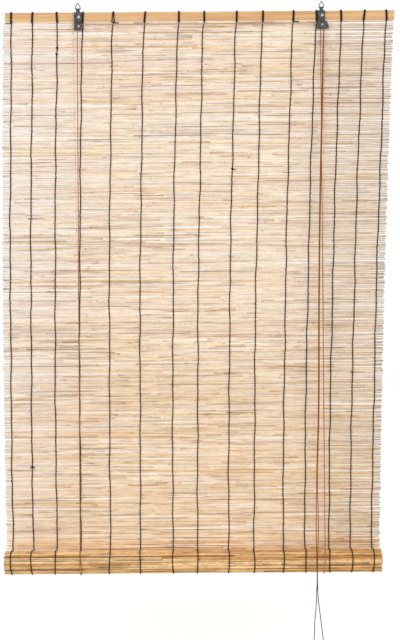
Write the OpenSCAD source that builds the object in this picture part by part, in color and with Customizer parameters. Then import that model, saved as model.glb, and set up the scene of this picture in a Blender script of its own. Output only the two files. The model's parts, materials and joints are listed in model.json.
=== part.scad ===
// Reed roll-up blind: a reed mat hung from a wooden slat and rolled up from below in two cord slings.
// Origin midway between the two hanging rings, at the height where hooks bear; front is -Y, up is +Z.

/* [Blind] */
// Width of the reed mat
mat_w = 1000; // [920:10:1150]
// Drop from the hooks to the axis of the roll
roll_drop = 1457; // [1350:1:1560]
// Sideways drift of the hanging mat, to the left, by the time it meets the roll
mat_drift = 28; // [0:1:32]

/* [Header slat] */
// Length that the slat is short of the mat's width
slat_short = 4; // [0:1:10]
// Height of the slat
slat_h = 23; // [21:0.5:25]
// Thickness of the slat
slat_t = 8; // [7.5:0.1:8.5]
// Chamfer along the slat's long edges
slat_chamfer = 0.8; // [0.3:0.1:1.2]

/* [Hanging rings] */
// Diameter of the ring wire
wire_d = 2; // [1.6:0.1:2.2]
// Height from the ring's base wire to its point, between the middles of the wires
ring_rise = 15.4; // [14:0.2:17]
// Width of the ring's base, between the middles of the wires
ring_base = 14; // [13:0.5:15]
// Height of the ring's base wire above the slat
eye_rise = 8; // [7:0.5:10]

/* [Brackets] */
// Thickness of the bracket's sheet
sheet_t = 1; // [0.8:0.05:1.2]
// Width of the rolled tab that holds the ring
tab_w = 9.6; // [8:0.1:9.8]
// Width of the left bracket
left_plate_w = 20; // [16:0.5:20]
// Width of the right bracket over the slat
right_plate_w = 18; // [14:0.5:18]
// Length of the brackets below the slat's top edge
plate_drop = 44.5; // [44:0.5:47]
// Reach of the lock's housing to the left of its ring
lock_left = 13; // [11:0.5:13]
// Reach of the lock's housing to the right of its ring, at its top
lock_right = 14; // [13.6:0.1:14.5]
// How far the housing's slanted side spreads by its foot
lock_flare = 6; // [5.6:0.1:6.4]
// Room between the two leaves of a bracket where the pulley turns
housing_gap = 7.4; // [7.4:0.1:8]
// Offset of the screws and axles from the ring's middle
axle_shift = 2; // [1.8:0.1:2.2]
// Drop from the slat's foot to the pulleys' axles
axle_drop = 12; // [11.5:0.5:12.5]

/* [Pulleys and lock] */
// Diameter of the axle rivets
axle_d = 3.2; // [2.8:0.1:3.4]
// Diameter of a pulley over its rims
pulley_d = 9.4; // [9:0.1:9.4]
// Diameter of the lock's ribbed roller
roller_d = 7; // [6.6:0.1:7]
// Diameter of the bracket screws' shanks
screw_d = 4; // [3:0.1:4.2]

/* [Reed mat] */
// Thickness of the mat over the reeds
mat_t = 5; // [4.8:0.1:5.2]
// Height of one woven pick of two reeds
pick_pitch = 9; // [8.6:0.1:9.6]
// Number of open gaps left between picks
gap_count = 100; // [40:1:110]
// Height of an open gap
gap_h = 1.6; // [1.2:0.1:2]
// Unevenness of the reeds' cut ends
rag = 4; // [1:0.5:6]

/* [Roll] */
// Mid radius of the mat where it enters the roll
roll_r = 31.1; // [28:0.1:32]
// Room between the turns of the roll
turn_gap = 0.3; // [0.2:0.05:0.5]
// Diameter of the rod at the heart of the roll
rod_d = 14; // [12:0.5:16]
// How far the rod stands out of each end of the roll
rod_stand = 3; // [1:0.5:6]

/* [Threads and cords] */
// Width of a warp thread
warp_w = 2; // [1.6:0.1:2.2]
// Thickness of a warp thread
warp_t = 1.2; // [0.9:0.1:1.2]
// Diameter of the cords
cord_d = 2; // [1.6:0.1:2]

/* [Hidden] */
$fn = 48;
run_clear = 0.15;
soft_clear = 0.3;
fit_clear = 0.05;
overrun = 1;

// Levels, from the hooks down: a hook bears in the inner point of each ring
ring_half_angle = atan2(ring_base / 2, ring_rise);
corner_swell = 0.3;
eye_z = wire_d / 2 / sin(ring_half_angle) - ring_rise;
slat_top = eye_z - eye_rise;
slat_foot = slat_top - slat_h;
mat_top = slat_foot - 2 * warp_t;
axle_z = slat_foot - axle_drop;
screw_z = slat_top - slat_h / 2;
plate_foot = slat_top - plate_drop;
roll_z = -roll_drop;

// Depths, from the ring's plane back to the wall
curl_r = wire_d / 2 + run_clear;
slat_front = curl_r + sheet_t;
slat_back = slat_front + slat_t;
mat_y = slat_front + slat_t / 2;
front_leaf = curl_r - housing_gap - sheet_t;
pulley_y = curl_r - housing_gap / 2;
roll_y = mat_y - roll_r;

// Places along the slat
ring_share = 0.311;
left_x = -ring_share * mat_w;
right_x = ring_share * mat_w;
warp_shares = [-0.482, -0.428, -0.365, -0.2985, -0.221, -0.14, -0.053, 0.012, 0.095,
               0.162, 0.24, 0.299, 0.362, 0.421, 0.478];
slat_w = mat_w - slat_short;

// Brackets
tab_head = 4;
shoulder_rise = 1;
lock_step = 3;
joggle_start = slat_foot;
joggle_h = curl_r + sheet_t + front_leaf;
lip_l = 7;
lip_h = 1;
head_d = 7;
head_h = 1.8;
head_slot = 1;
head_slot_depth = 0.8;
screw_bite = 6;
rivet_d = 5;
rivet_h = 1.2;

// Pulleys: a pair of grooves, one for each cord
pulley_w = housing_gap - 2 * soft_clear;
groove_w = cord_d + 2 * soft_clear;
groove_y = pulley_w / 4 - soft_clear / 2;
wrap_r = pulley_d / 2 - cord_d / 2 + soft_clear;
groove_r = wrap_r - cord_d / 2 - soft_clear;
front_groove = pulley_y - groove_y;
back_groove = pulley_y + groove_y;
roller_sides = 12;
roller_rest_rise = 2;
flank_slope = lock_flare / (joggle_start - lock_step - plate_foot);

// Reed mat: two reeds to a pick, with a deep furrow between picks and a shallow one between the reeds
crest = mat_t / 2;
deep_furrow = 0.9;
shallow_furrow = 1.5;
furrows = [deep_furrow, crest, shallow_furrow, crest];
mat_h = mat_top - roll_z;
pick_n = floor(mat_h / pick_pitch);
pick_h = (mat_h - soft_clear) / pick_n;
band_n = 40;
band_shift = 0.4;
gap_short = 60;
gap_long = 260;
gap_edge = 60;
gap_seed = 7;
left_seed = 11;
right_seed = 23;
gap_lengths = rands(gap_short, gap_long, gap_count, gap_seed);
gap_places = rands(-mat_w / 2 + gap_edge, mat_w / 2 - gap_edge, gap_count, gap_seed + 1);
left_rags = rands(0, rag, band_n, left_seed);
right_rags = rands(0, rag, band_n, right_seed);

// Roll: a spiral of even thickness, wound forward and under
turn_pitch = mat_t + turn_gap;
wind = turn_pitch / 360;
rod_clear = 0.4;
heart_r = rod_d / 2 + rod_clear + crest;
reed_arc = pick_pitch / 4;
spiral_end = (roll_r - heart_r) / wind;
spiral_len = (roll_r + heart_r) / 2 * spiral_end * PI / 180;
spiral_n = 4 * floor(spiral_len / pick_pitch);
thread_from = 75;
thread_to = 285;
thread_step = 15;
thread_lift = 0.4;
nip_rise = 13;

// Cord slings under the roll
sling_r = roll_r + crest + thread_lift + warp_t + cord_d / 2 + soft_clear;
sling_back = roll_y + sling_r;
sling_front = roll_y - sling_r;
left_axle = left_x + axle_shift;
right_axle = right_x + axle_shift;
left_sling_out = 16;
right_sling_out = 7;
left_sling = left_axle - left_sling_out;
right_sling = right_axle + right_sling_out;
sling_rise = 25;
lead_drop = 1.5;
lead_foot = plate_foot - lead_drop;
staple_d = 1.2;
staple_bite = 5;
tie_rise = 8;
tie_knot_d = 4.4;
tie_knot_rise = 5;

// Pull cords: places across from the lock's axle, depths and levels of each cord's route
pull_run_a = [[4, -4, -67.5], [3, -8, -110], [1, -15, -250], [-4, -25, -450], [-8, -40, -760],
              [-10, -55, -1070], [-14, -63, -1230], [-12, -69, -1370], [-14, -73, -1440]];
pull_run_b = [[4, -1, -67.5], [2, -5, -110], [-1, -13, -250], [-6, -23, -450], [-10, -38, -760],
              [-12, -53, -1070], [-16, -61, -1230], [-17, -67, -1370], [-16, -70, -1440]];
pull_tail_a = [[-14, -73, -1440.5], [-14, -74, -1505], [-13, -74, -1530], [-10, -73, -1565],
               [-5, -72, -1605], [1, -72, -1655], [5, -71, -1700], [7, -71, -1740], [7, -71, -1780]];
pull_tail_b = [[-16, -70, -1440.5], [-15, -71, -1505], [-16, -71, -1530], [-17, -71, -1565],
               [-20, -70, -1605], [-22, -70, -1655], [-23, -70, -1700], [-24, -70, -1740], [-24, -70, -1780]];
tube_sides = 8;
pull_knot_d = 6;
pull_knot_l = 9;

slat_colour = [0.84, 0.68, 0.48];
reed_colour = [0.92, 0.84, 0.71];
roll_colour = [0.82, 0.66, 0.43];
thread_colour = [0.27, 0.18, 0.12];
cord_colour = [0.72, 0.42, 0.26];
sheet_colour = [0.25, 0.24, 0.26];
steel_colour = [0.72, 0.72, 0.74];

// Turns a flat shape drawn as (depth, height) into a bar of the given length along X
module bar_x(length)
    rotate([90, 0, 90]) linear_extrude(length, center = true) children();

// Turns a flat shape drawn as (across, height) into a plate from depth y0 to depth y1
module plate_y(y0, y1)
    translate([0, y1, 0]) rotate([90, 0, 0]) linear_extrude(y1 - y0) children();

// A round pin along Y from depth y0 to depth y1
module pin_y(d, y0, y1)
    translate([0, y0, 0]) rotate([-90, 0, 0]) cylinder(d = d, h = y1 - y0);

// A straight cord between two points
module cord_between(a, b) {
    reach = b - a;
    length = norm(reach);
    turn = atan2(reach[1], reach[0]);
    tilt = acos(reach[2] / length);
    translate(a) rotate([0, tilt, turn]) cylinder(d = cord_d, h = length, $fn = tube_sides);
}

// A bent piece of cord or wire in the XZ plane, around the origin, from one angle to another
module bend_xz(r, d, from, to)
    rotate([90, 0, 0]) rotate(from) rotate_extrude(angle = to - from) translate([r, 0]) circle(d = d);

module header_slat() {
    half_t = slat_t / 2;
    half_h = slat_h / 2;
    section = [[-half_t + slat_chamfer, -half_h], [half_t - slat_chamfer, -half_h],
               [half_t, -half_h + slat_chamfer], [half_t, half_h - slat_chamfer],
               [half_t - slat_chamfer, half_h], [-half_t + slat_chamfer, half_h],
               [-half_t, half_h - slat_chamfer], [-half_t, -half_h + slat_chamfer]];
    color(slat_colour) difference() {
        translate([0, mat_y, screw_z]) bar_x(slat_w) polygon(section);
        for (x = [left_axle, right_axle])
            translate([x, 0, screw_z])
                pin_y(screw_d + 2 * fit_clear, slat_front - overrun, slat_front + screw_bite);
        for (x = [left_sling, right_sling], side = [-1, 1])
            translate([x + side * staple_half(), 0, screw_z])
                pin_y(staple_d + 2 * fit_clear, slat_back - staple_bite, slat_back + overrun);
    }
}

function staple_half() = cord_d / 2 + fit_clear + staple_d / 2;

module header_stitches()
    color(thread_colour) for (share = warp_shares)
        translate([share * mat_w, mat_y, screw_z]) bar_x(warp_w) difference() {
            square([slat_t + 2 * warp_t, slat_h + 2 * warp_t], center = true);
            square([slat_t, slat_h], center = true);
        }

// Side view of a bracket's sheet: a curl round the ring wire, a flat rear leaf and a joggled front leaf
module leaf_profile() {
    difference() {
        union() {
            translate([0, eye_z]) circle(curl_r + sheet_t);
            translate([-slat_front, joggle_start]) square([sheet_t, eye_z - joggle_start]);
            translate([curl_r, plate_foot]) square([sheet_t, eye_z - plate_foot]);
        }
        translate([0, eye_z]) circle(curl_r);
    }
    polygon([[-curl_r, joggle_start], [-slat_front, joggle_start], [front_leaf, joggle_start + joggle_h],
             [front_leaf + sheet_t, joggle_start + joggle_h]]);
    translate([front_leaf, plate_foot]) square([sheet_t, joggle_start + joggle_h - plate_foot]);
}

module bracket(x, plate_w) {
    difference() {
        intersection() {
            translate([x, 0, 0]) bar_x(mat_w) leaf_profile();
            translate([x, 0, 0]) plate_y(front_leaf - overrun, slat_front + overrun) {
                translate([-tab_w / 2, slat_top]) square([tab_w, eye_z + tab_head - slat_top]);
                translate([-plate_w / 2, plate_foot])
                    square([plate_w, slat_top + shoulder_rise - plate_foot]);
                children();
            }
        }
        translate([x + axle_shift, 0, screw_z])
            pin_y(screw_d + 2 * fit_clear, front_leaf - overrun, slat_front + overrun);
        translate([x + axle_shift, 0, axle_z])
            pin_y(axle_d + 2 * fit_clear, front_leaf - overrun, slat_front + overrun);
    }
}

module left_bracket()
    color(sheet_colour) bracket(left_x, left_plate_w);

// Right edge of the lock's slanted side at a given height, from the ring's middle
function flank_x(z) = lock_right + flank_slope * (joggle_start - lock_step - z);

module right_bracket() {
    lock_top = joggle_start - lock_step;
    wall_top = joggle_start + joggle_h;
    color(sheet_colour) {
        bracket(right_x, right_plate_w)
            polygon([[-lock_left, plate_foot], [-lock_left, lock_top], [flank_x(lock_top), lock_top],
                     [flank_x(plate_foot), plate_foot]]);
        translate([right_x, 0, 0]) plate_y(front_leaf + sheet_t - fit_clear, curl_r + fit_clear)
            polygon([[flank_x(wall_top) - sheet_t, wall_top], [flank_x(wall_top), wall_top],
                     [flank_x(plate_foot), plate_foot], [flank_x(plate_foot) - lip_l, plate_foot],
                     [flank_x(plate_foot) - lip_l, plate_foot + lip_h],
                     [flank_x(plate_foot + lip_h) - sheet_t, plate_foot + lip_h]]);
    }
}

module bracket_screw(x) {
    color(steel_colour) translate([x, 0, screw_z]) difference() {
        union() {
            pin_y(screw_d, -slat_front, slat_front + screw_bite - soft_clear);
            pin_y(head_d, -slat_front - head_h, -slat_front);
        }
        translate([0, -slat_front - head_h, 0]) rotate([0, 45, 0])
            cube([head_d + overrun, 2 * head_slot_depth, head_slot], center = true);
    }
}

module left_screw()
    bracket_screw(left_axle);

module right_screw()
    bracket_screw(right_axle);

module axle_rivet(x)
    color(steel_colour) translate([x, 0, axle_z]) {
        pin_y(axle_d, front_leaf, slat_front);
        pin_y(rivet_d, front_leaf - rivet_h, front_leaf);
    }

module left_axle()
    axle_rivet(left_axle);

module right_axle()
    axle_rivet(right_axle);

// A three-cornered wire ring whose base turns in the bracket's curl
module hanging_ring(x) {
    corners = [[-ring_base / 2, eye_z], [ring_base / 2, eye_z], [0, eye_z + ring_rise]];
    color(steel_colour) for (i = [0:2]) {
        side = corners[(i + 1) % 3] - corners[i];
        translate([x + corners[i][0], 0, corners[i][1]]) {
            sphere(d = wire_d + corner_swell);
            rotate([0, 90 - atan2(side[1], side[0]), 0]) cylinder(d = wire_d, h = norm(side));
        }
    }
}

module left_ring()
    hanging_ring(left_x);

module right_ring()
    hanging_ring(right_x);

module pulley(x) {
    bore = axle_d / 2 + fit_clear;
    color(roll_colour) translate([x, pulley_y, axle_z]) rotate([90, 0, 0]) rotate_extrude() difference() {
        translate([bore, -pulley_w / 2]) square([pulley_d / 2 - bore, pulley_w]);
        for (side = [-1, 1])
            translate([groove_r, side * groove_y - groove_w / 2]) square([pulley_d / 2, groove_w]);
    }
}

module left_pulley()
    pulley(left_axle);

module right_pulley()
    pulley(right_axle);

// The lock's ribbed roller, at the top of its run where it pinches the pull cords
module lock_roller() {
    across = right_axle + wrap_r + cord_d / 2 + soft_clear + roller_d / 2;
    color(steel_colour) translate([across, 0, axle_z + roller_rest_rise])
        pin_y(roller_d, pulley_y - pulley_w / 2, pulley_y + pulley_w / 2, $fn = roller_sides);
}

// One face of the mat as (depth, height) points from the top down; side is -1 in front and 1 behind
function mat_face(side) = [for (i = [0:4 * pick_n]) [side * furrows[i % 4], -i * pick_h / 4]];
function reversed(points) = [for (i = [len(points) - 1:-1:0]) points[i]];
function band_z(band) = -floor(band * pick_n / band_n) * pick_h - band_shift;

module reed_mat() {
    reach = mat_w + 2 * rag + 2 * mat_drift + overrun;
    color(reed_colour) translate([0, mat_y, mat_top]) difference() {
        bar_x(reach) polygon(concat(mat_face(-1), reversed(mat_face(1))));
        for (band = [0:band_n - 1]) {
            top = band == 0 ? overrun : band_z(band);
            foot = band == band_n - 1 ? -mat_h - overrun : band_z(band + 1) - fit_clear;
            drift = -mat_drift * (band + 1) / band_n;
            translate([drift - mat_w / 2 + left_rags[band] - reach, -mat_t, foot])
                cube([reach, 2 * mat_t, top - foot]);
            translate([drift + mat_w / 2 - right_rags[band], -mat_t, foot])
                cube([reach, 2 * mat_t, top - foot]);
        }
        for (gap = [0:gap_count - 1])
            translate([gap_places[gap], 0, -(1 + floor(gap * (pick_n - 1) / gap_count)) * pick_h])
                cube([gap_lengths[gap], 2 * mat_t, gap_h], center = true);
    }
}

// One thread of a warp, from the mat's top edge down to the given height, leaning with the mat's drift
module warp_ribbon(x, y, foot) {
    bridge = mat_top + warp_t;
    lean = mat_drift * (bridge - foot) / mat_h;
    plate_y(y, y + warp_t)
        polygon([[x - warp_w / 2, bridge], [x + warp_w / 2, bridge],
                 [x + warp_w / 2 - lean, foot], [x - warp_w / 2 - lean, foot]]);
}

// A pair of threads joined over the mat's top edge; the front one ends above the nip of the roll
module warp(share) {
    x = share * mat_w;
    color(thread_colour) {
        warp_ribbon(x, mat_y - crest - warp_t, roll_z + nip_rise);
        warp_ribbon(x, mat_y + crest, roll_z + soft_clear);
        translate([x, mat_y, mat_top + warp_t / 2])
            cube([warp_w, mat_t + 2 * warp_t, warp_t], center = true);
    }
}

// Mid radius and angle of the rolled mat at a given place along its length, from the outer end
function spiral_turn(s) = (roll_r - sqrt(roll_r * roll_r - 2 * s * wind * 180 / PI)) / wind;
function spiral_point(turn, out) =
    let (r = roll_r - wind * turn + out) [r * cos(turn), -r * sin(turn)];
function roll_face(side) =
    [for (i = [0:spiral_n]) spiral_point(spiral_turn(i * reed_arc), side * furrows[i % 4])];

module mat_roll()
    color(roll_colour) translate([-mat_drift, roll_y, roll_z])
        bar_x(mat_w) polygon(concat(roll_face(1), reversed(roll_face(-1))));

module bottom_rod()
    color(slat_colour) translate([-mat_drift, roll_y, roll_z]) rotate([0, 90, 0])
        cylinder(d = rod_d, h = mat_w + 2 * rod_stand, center = true);

// The warp threads where they cross the outside of the roll
module roll_threads() {
    turns = [for (turn = [thread_from:thread_step:thread_to]) turn];
    inner = [for (turn = turns) spiral_point(turn, crest + thread_lift)];
    outer = [for (turn = turns) spiral_point(turn, crest + thread_lift + warp_t)];
    color(thread_colour) for (share = warp_shares)
        translate([share * mat_w - mat_drift, roll_y, roll_z])
            bar_x(warp_w) polygon(concat(inner, reversed(outer)));
}

// A wire staple over the end of a lift cord, on the back of the slat
module staple(x) {
    hump = sling_back - slat_back;
    color(steel_colour) translate([x, 0, screw_z]) {
        for (side = [-1, 1])
            translate([side * staple_half(), 0, 0])
                pin_y(staple_d, slat_back - staple_bite + soft_clear, slat_back + hump);
        translate([0, slat_back + hump, 0]) rotate_extrude(angle = 180)
            translate([staple_half(), 0]) circle(d = staple_d);
    }
}

module left_staple()
    staple(left_sling);

module right_staple()
    staple(right_sling);

// The fixed end of a lift cord: up behind the slat, under its staple, to a stopper knot
module tie(x)
    color(cord_colour) {
        cord_between([x, sling_back, slat_foot], [x, sling_back, screw_z + tie_rise]);
        translate([x, slat_back + soft_clear + tie_knot_d / 2, screw_z + tie_knot_rise])
            cylinder(d = tie_knot_d, h = tie_rise - tie_knot_rise + cord_d, $fn = tube_sides);
    }

module left_tie()
    tie(left_sling);

module right_tie()
    tie(right_sling);

module back_strand(x)
    color(cord_colour) cord_between([x, sling_back, slat_foot], [x, sling_back, roll_z + soft_clear]);

module left_back_strand()
    back_strand(left_sling);

module right_back_strand()
    back_strand(right_sling);

module front_strand(axle_x, groove, sling_x)
    color(cord_colour) cord_between([axle_x - wrap_r, groove, lead_foot - soft_clear],
                                    [sling_x, sling_front, roll_z + sling_rise + soft_clear]);

module left_front_strand()
    front_strand(left_axle, front_groove, left_sling);

module right_front_strand()
    front_strand(right_axle, back_groove, right_sling);

// The lift cord where it passes under the roll and some way up its front
module sling_loop(x)
    color(cord_colour) {
        translate([x, roll_y, roll_z]) rotate([0, 90, 0])
            rotate([0, 0, -90]) rotate_extrude(angle = 180) translate([sling_r, 0]) circle(d = cord_d);
        translate([x, sling_front, roll_z]) cylinder(d = cord_d, h = sling_rise);
    }

module left_loop()
    sling_loop(left_sling);

module right_loop()
    sling_loop(right_sling);

// A cord's way straight down from a pulley's side to just below the bracket
module lead(x, y)
    translate([x, y, lead_foot]) cylinder(d = cord_d, h = axle_z - lead_foot);

// The left lift cord up over its pulley, along the slat's foot and over the lock's pulley
module cross_cord()
    color(cord_colour) {
        lead(left_axle - wrap_r, front_groove);
        translate([left_axle, front_groove, axle_z]) bend_xz(wrap_r, cord_d, 90, 180);
        translate([left_axle, front_groove, axle_z + wrap_r])
            rotate([0, 90, 0]) cylinder(d = cord_d, h = right_axle - left_axle);
        translate([right_axle, front_groove, axle_z]) bend_xz(wrap_r, cord_d, 0, 90);
        lead(right_axle + wrap_r, front_groove);
    }

// The right lift cord where it turns over the lock's pulley
module lock_turn()
    color(cord_colour) {
        lead(right_axle - wrap_r, back_groove);
        translate([right_axle, back_groove, axle_z]) bend_xz(wrap_r, cord_d, 0, 180);
        lead(right_axle + wrap_r, back_groove);
    }

// A round tube swept through the points of a hanging cord's route
function along(route, i) =
    let (last = len(route) - 1, step = route[min(i + 1, last)] - route[max(i - 1, 0)]) step / norm(step);
function tube_ring(route, i) =
    let (way = along(route, i), across = cross([0, 1, 0], way), u = across / norm(across), v = cross(way, u))
    [for (side = [0:tube_sides - 1])
        route[i] + cord_d / 2 * (cos(side * 360 / tube_sides) * u + sin(side * 360 / tube_sides) * v)];

module tube(route) {
    last = len(route) - 1;
    points = [for (i = [0:last]) each tube_ring(route, i)];
    walls = [for (i = [0:last - 1], side = [0:tube_sides - 1])
        let (next = (side + 1) % tube_sides, a = i * tube_sides, b = a + tube_sides)
        [a + side, b + side, b + next, a + next]];
    start = [for (side = [0:tube_sides - 1]) side];
    finish = [for (side = [tube_sides - 1:-1:0]) last * tube_sides + side];
    color(cord_colour) translate([right_axle, 0, 0])
        polyhedron(points, concat([start], walls, [finish]));
}

module pull_run_left()
    tube(pull_run_b);

module pull_run_right()
    tube(pull_run_a);

module pull_tail_left()
    tube(pull_tail_b);

module pull_tail_right()
    tube(pull_tail_a);

// A stopper knot at the foot of a pull cord
module pull_knot(route) {
    foot = route[len(route) - 1];
    color(cord_colour) translate([right_axle + foot[0], foot[1], foot[2] - pull_knot_l / 2])
        rotate_extrude() intersection() {
            translate([0, -pull_knot_l / 2]) square([pull_knot_d / 2, pull_knot_l]);
            circle(d = pull_knot_l);
        }
}

module pull_knot_left()
    pull_knot(pull_tail_b);

module pull_knot_right()
    pull_knot(pull_tail_a);

header_slat();
header_stitches();
left_bracket();
right_bracket();
left_screw();
right_screw();
left_axle();
right_axle();
left_ring();
right_ring();
left_pulley();
right_pulley();
lock_roller();
reed_mat();
warp(warp_shares[0]);  // warp_01
warp(warp_shares[1]);  // warp_02
warp(warp_shares[2]);  // warp_03
warp(warp_shares[3]);  // warp_04
warp(warp_shares[4]);  // warp_05
warp(warp_shares[5]);  // warp_06
warp(warp_shares[6]);  // warp_07
warp(warp_shares[7]);  // warp_08
warp(warp_shares[8]);  // warp_09
warp(warp_shares[9]);  // warp_10
warp(warp_shares[10]);  // warp_11
warp(warp_shares[11]);  // warp_12
warp(warp_shares[12]);  // warp_13
warp(warp_shares[13]);  // warp_14
warp(warp_shares[14]);  // warp_15
mat_roll();
bottom_rod();
roll_threads();
left_staple();
right_staple();
left_tie();
right_tie();
left_back_strand();
right_back_strand();
left_front_strand();
right_front_strand();
left_loop();
right_loop();
cross_cord();
lock_turn();
pull_run_left();
pull_run_right();
pull_tail_left();
pull_tail_right();
pull_knot_left();
pull_knot_right();
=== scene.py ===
import json
import math

import bpy
import numpy as np
from mathutils import Matrix, Vector


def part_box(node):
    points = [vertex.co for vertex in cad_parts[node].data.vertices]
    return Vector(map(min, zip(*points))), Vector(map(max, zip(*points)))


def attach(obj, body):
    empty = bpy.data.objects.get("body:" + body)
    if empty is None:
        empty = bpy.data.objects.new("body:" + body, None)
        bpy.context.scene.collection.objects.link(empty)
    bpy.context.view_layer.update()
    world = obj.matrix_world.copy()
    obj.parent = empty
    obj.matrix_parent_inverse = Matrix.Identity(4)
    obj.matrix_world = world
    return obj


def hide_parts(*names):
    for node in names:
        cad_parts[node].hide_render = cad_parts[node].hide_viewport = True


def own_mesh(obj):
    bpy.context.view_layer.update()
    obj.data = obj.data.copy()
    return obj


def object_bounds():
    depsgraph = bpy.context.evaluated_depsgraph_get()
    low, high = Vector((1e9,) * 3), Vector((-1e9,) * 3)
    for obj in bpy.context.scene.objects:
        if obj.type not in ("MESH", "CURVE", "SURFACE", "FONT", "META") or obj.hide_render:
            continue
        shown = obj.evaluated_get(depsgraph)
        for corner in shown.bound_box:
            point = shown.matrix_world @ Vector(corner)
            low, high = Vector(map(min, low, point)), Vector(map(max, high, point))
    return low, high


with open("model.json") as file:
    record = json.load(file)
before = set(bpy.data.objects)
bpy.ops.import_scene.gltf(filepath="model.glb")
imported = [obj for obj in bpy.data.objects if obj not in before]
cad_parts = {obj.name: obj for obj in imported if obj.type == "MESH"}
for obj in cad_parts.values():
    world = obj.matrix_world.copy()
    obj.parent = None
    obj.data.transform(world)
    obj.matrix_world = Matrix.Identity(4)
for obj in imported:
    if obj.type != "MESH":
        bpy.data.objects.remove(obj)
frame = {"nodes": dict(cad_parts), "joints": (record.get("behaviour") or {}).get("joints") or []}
cad_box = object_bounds()
scene = bpy.context.scene
MM = 0.001

# Camera, from the photograph's perspective
IMAGE_H = 640
FOCAL_PX = 1400
SENSOR = 36.0
CAMERA_PLACE = Vector((-0.0061, -3.6452, -0.3708))
PITCH_DOWN = math.radians(6.941)
YAW = math.radians(0.019)
ROLL = math.radians(-0.434)

# Stage and light
FLOOR_DROP = 12 * MM
FLOOR_REACH = 14.0
FLOOR_COLOUR = (0.9, 0.9, 0.89)
FLOOR_GLOW = ((2.5, 0.3), (6.5, 0.45))  # distance from the object, strength
SKY_LIGHT = 0.62
LAMPS = [  # place, width, watts
    ((-2.3, -3.2, 1.2), 2.4, 52),
    ((2.5, -3.4, 0.7), 2.4, 44),
    ((0.4, 2.6, 1.6), 2.2, 26),
]
LAMP_AIM = Vector((0, 0, -0.75))

# Reeds; a pair of values is the least and the most
REED_SIDES = 6
TOP_SIDE = 2
UNDERSIDE = 4
RING_STEP = 28 * MM
REED_R = (2.1 * MM, 2.55 * MM)
REED_BUTT = 1.04  # radius at the thick end, as a share
REED_TAPER = (0.1, 0.3)
REED_LENGTH = (0.2, 0.7)
SHORTEST_REED = 0.15
REED_OVERLAP = (0.02, 0.05)
FIRST_NODE = (0.02, 0.2)
NODE_SPACING = (0.14, 0.27)
NODE_MARGIN = 0.02
MOST_NODES = 8
NODE_HALF = 2 * MM
NODE_RINGS = (-1.6, -0.5, 0.5, 1.6)  # in half lengths of a node
NODE_SWELL = 0.1
NODE_STAINS = [0.1, 0.25, 0.55]
NODE_STAIN_SHARES = [0.55, 0.37, 0.08]
FADE_POWER = 0.8
MARK_REACH = 1.5  # sides from the middle of a mark to where it ends
PATCH = 20 * MM
MAT_PATCHES = 0.05
ROLL_PATCHES = 0.14
REED_SPREAD = 0.02

# Hanging mat
SWAY_SEED = 5
WARPS = 15
PICKS = 156  # pairs of reeds down the mat
END_RAG = (-1.5 * MM, 3 * MM)  # how far a row stops short of the mat's edge
END_COMB = 22 * MM
TIP_TAPER = 0.3
TIP_DARKENING = 0.45
RIGHT_TIPS_DARKENED = 0.5
OTHER_TIPS_DARKENED = 0.12
EDGE_LIFT = 1.1 * MM
EDGE_STOUT = 1.25
REED_TILT = 0.0018
REED_STAND = 0.3 * MM
REED_WAVE = 0.25 * MM
WAVE_RATE = 9  # radians to a metre
ROW_SWAY = 0.25 * MM
GAPS_A_PICK = 0.35
GAP_MM = (0.3, 0.9)
GAP_WARPS = (1, 4)
MAT_BOW = 5.5 * MM
MAT_SLIP = 3.5 * MM
WARP_SLIPS = 4 * [0] + 7 * [1] + 4 * [0.35]  # share of the mat's slip that each warp takes
PARTED = [(3, 2, 5, 1.1 * MM), (3, 11, 15, 1.2 * MM), (4, 12, 15, 0.7 * MM)]  # pick, warps, opening

# Threads
WARP_SEED = 100
STITCH_SEED = 31
ROLLED_THREAD_SEED = 57
WARP_W = 2 * MM
THREAD_SIDES = 6
THREAD_R = 1.65 * MM
THREAD_FLAT = 0.7
THREAD_DIP = 1.2 * MM
THREAD_SLANT = 0.8 * MM
THREAD_LEADS = (2.6 * MM, 1.3 * MM)  # rises of a thread above its first pick
THREAD_JITTER = 0.2 * MM
THREAD_SHADES = (0.75, 1.3)
THREAD_SWELL = (0.85, 0.2)  # width where the threads cross, and what a pick adds to it
PICK_POINTS = (0, 0.2, 0.5, 0.8)  # places along a pick
BULGE_POWER = 0.6
SLIP_PICKS = 2
WANDERS = ((0.62, 0.5), (0.23, 0.7), (0.11, 0.6))  # wavelength in metres, size in mm
CREST = 2.5 * MM
NIP_RISE = 12 * MM  # height of the front threads' feet above the roll's axis
FOLD_ROOM = 6.5 * MM  # height of the gathered mat's top above the roll's axis at full lift
STITCH_R = 1.4 * MM
STITCH_CORNER = 1.6 * MM
STITCH_SPLAY = 1.3 * MM
STITCH_TOP = 1.1 * MM
STITCH_LEAN_MM = 0.9
WIDE_STITCHES = {4: 3.2 * MM}  # warp, splay
STITCH_SHADES = (0.8, 1.4)
LOOSE_ENDS = ((0, -1), (4, 1), (10, 1))  # warp, side
LOOSE_PATH = ((0, 0, 0), (6, -1.5, -2), (14, -1, -1.5))  # mm from the stitch's foot
KNOT_RINGS = 36
KNOT_DEPTH = 1.12
KNOT_SIZE = 2.5 * MM
KNOT_R = 1.05 * MM
STUB_MM = (5, 9)
WARP_KNOTS = [  # warp, height, sides with a loose end
    (2, -0.110, ()), (2, -0.126, ()), (8, -0.421, (1,)), (1, -1.205, (-1, 1)),
]

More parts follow.
